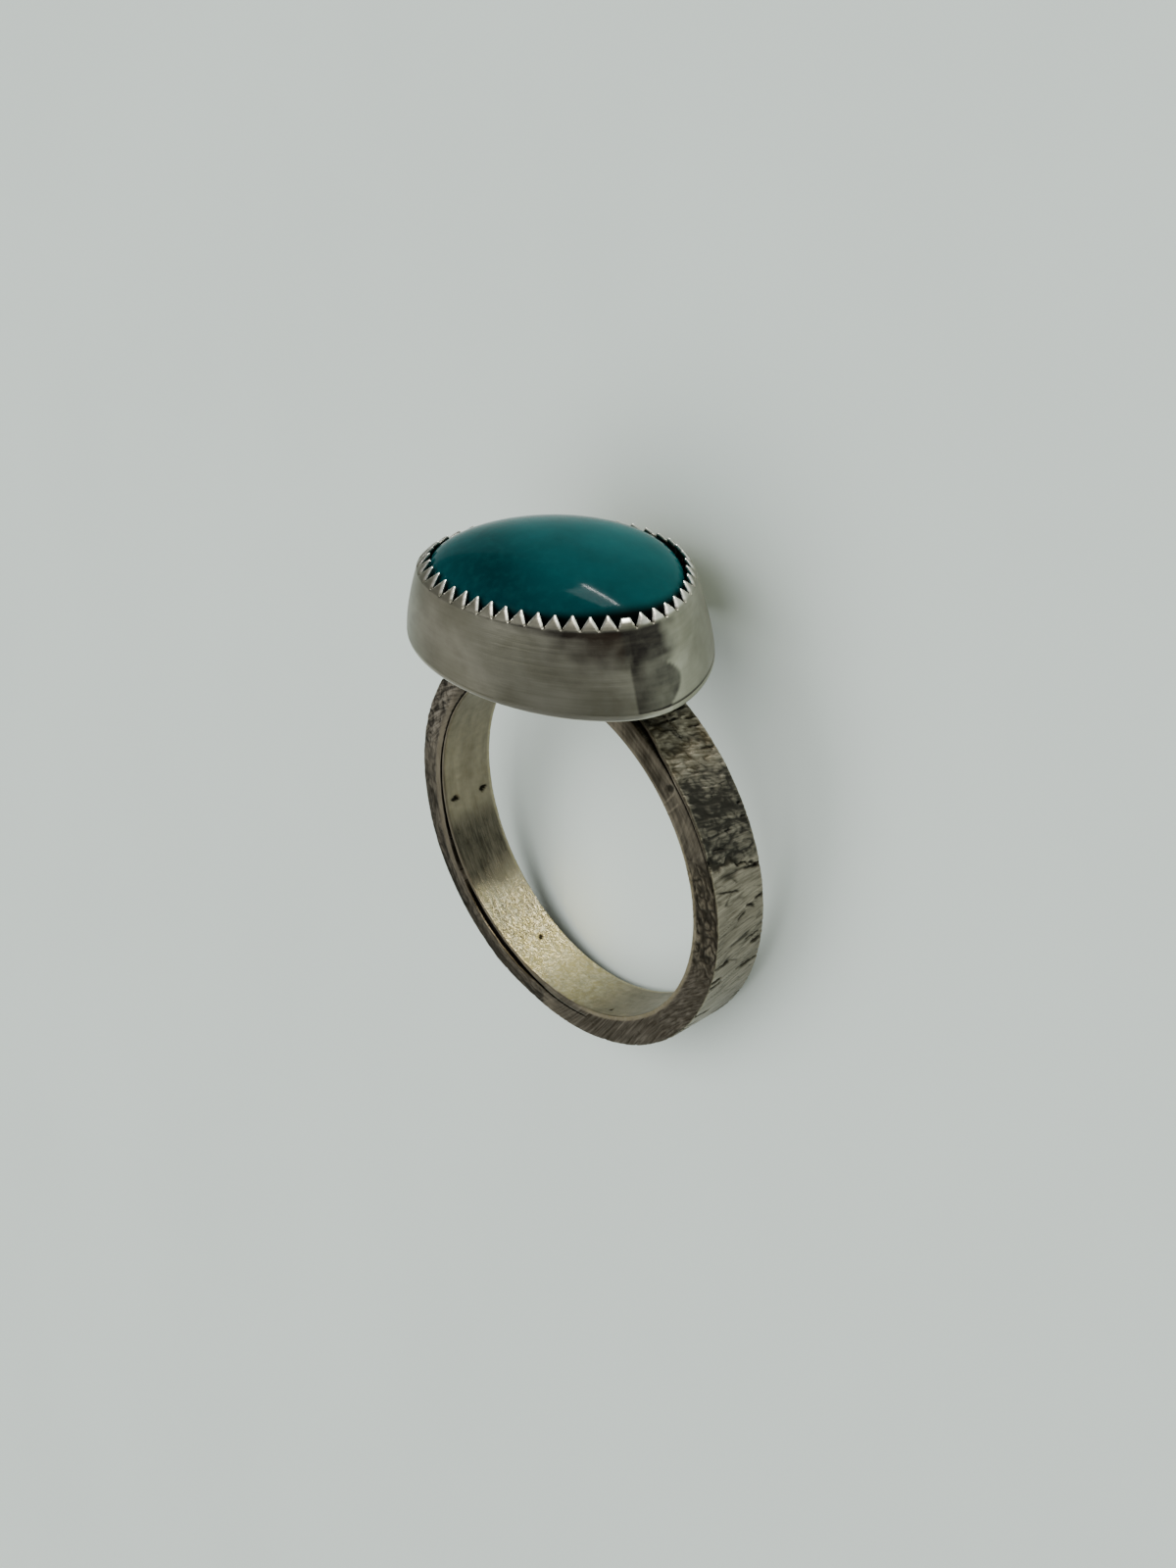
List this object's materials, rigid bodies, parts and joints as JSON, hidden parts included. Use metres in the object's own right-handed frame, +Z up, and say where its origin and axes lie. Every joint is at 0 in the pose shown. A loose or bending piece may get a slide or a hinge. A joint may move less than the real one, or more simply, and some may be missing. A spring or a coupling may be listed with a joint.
{
  "type": "turquoise ring",
  "caption": "Silver finger ring with a hammered, lapped shank and an oval turquoise cabochon in a deep saw-tooth bezel, lying on its side.",
  "frame": {"origin": "middle of the finger hole", "axes": "+Z up from the surface the ring lies on, +Y towards the stone, along the ring's length"},
  "size_m": [0.0216, 0.0269, 0.0134],
  "materials": {
    "sterling_silver": "sterling silver: satin bezel wall, worn inner shank, hammered and darkened outer shank",
    "turquoise": "polished deep blue-green turquoise with no matrix"
  },
  "bodies": {
    "root": {"silver_mount": "sterling_silver", "turquoise_cabochon": "turquoise"}
  },
  "joints": []
}
